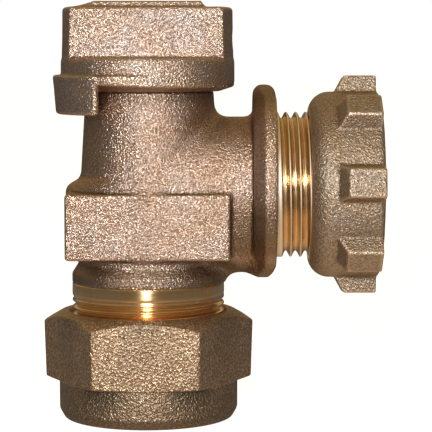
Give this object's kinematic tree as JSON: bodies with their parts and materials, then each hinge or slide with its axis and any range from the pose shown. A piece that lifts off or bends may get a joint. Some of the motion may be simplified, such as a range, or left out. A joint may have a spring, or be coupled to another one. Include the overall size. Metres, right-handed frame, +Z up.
{
  "type": "angle meter valve",
  "caption": "Cast bronze angle key valve with a tee head on top, a compression inlet with a hex nut below and a flanged threaded outlet with a lugged coupling nut.",
  "frame": {"origin": "centre of the tube entry, on the bottom face of the compression nut", "axes": "+Z up along the axis of the tube and the key, +X along the outlet, so -Y is the side that the picture shows"},
  "size_m": [0.0758, 0.0492, 0.0937],
  "materials": {
    "cast_bronze": "sand cast, fine grain",
    "nut_bronze": "cast, coarse grain on the flats",
    "machined_brass": "turned",
    "stainless_steel": "satin",
    "black_rubber": "matte",
    "white_plastic": "matte"
  },
  "bodies": {
    "valve": {"valve_body": "cast_bronze", "port_seal_ring": "black_rubber", "thrust_washer": "white_plastic", "wave_spring": "stainless_steel", "spring_washer": "machined_brass", "retaining_ring": "stainless_steel", "compression_gasket": "black_rubber", "continuity_spring": "stainless_steel"},
    "key": {"key": "machined_brass", "tee_cap": "cast_bronze", "cap_pin": "machined_brass", "stem_o_ring_upper": "black_rubber", "stem_o_ring_lower": "black_rubber", "key_o_ring": "black_rubber"},
    "gripper": {"gripper_ring": "stainless_steel", "gripper_washer": "machined_brass"},
    "compression_nut": {"compression_nut": "nut_bronze"},
    "meter_gasket": {"meter_gasket": "black_rubber"},
    "coupling_nut": {"coupling_nut": "cast_bronze"}
  },
  "joints": [
    {"name": "key_turn", "type": "hinge", "parent": "valve", "child": "key", "pos_m": [0, 0, 0.0526], "axis": [0, 0, 1], "range_deg": [-90, 0]},
    {"name": "compression_nut_travel", "type": "slide", "parent": "valve", "child": "gripper", "axis": [0, 0, 1], "range_m": [-0.00714, 0.00238]},
    {"name": "compression_nut_turn", "type": "hinge", "parent": "gripper", "child": "compression_nut", "pos_m": [0, 0, 0.0122], "axis": [0, 0, 1], "range_deg": [-1620, 540]},
    {"name": "coupling_nut_travel", "type": "slide", "parent": "valve", "child": "meter_gasket", "axis": [1, 0, 0], "range_m": [-0.00387, 0.00221]},
    {"name": "coupling_nut_turn", "type": "hinge", "parent": "meter_gasket", "child": "coupling_nut", "pos_m": [0.044, 0, 0.0526], "axis": [1, 0, 0], "range_deg": [-630, 360]}
  ],
  "couplings": [
    {"joint": "compression_nut_travel", "follows": "compression_nut_turn", "m_per_rad": 0.00025266},
    {"joint": "coupling_nut_travel", "follows": "coupling_nut_turn", "m_per_rad": 0.00035152}
  ]
}
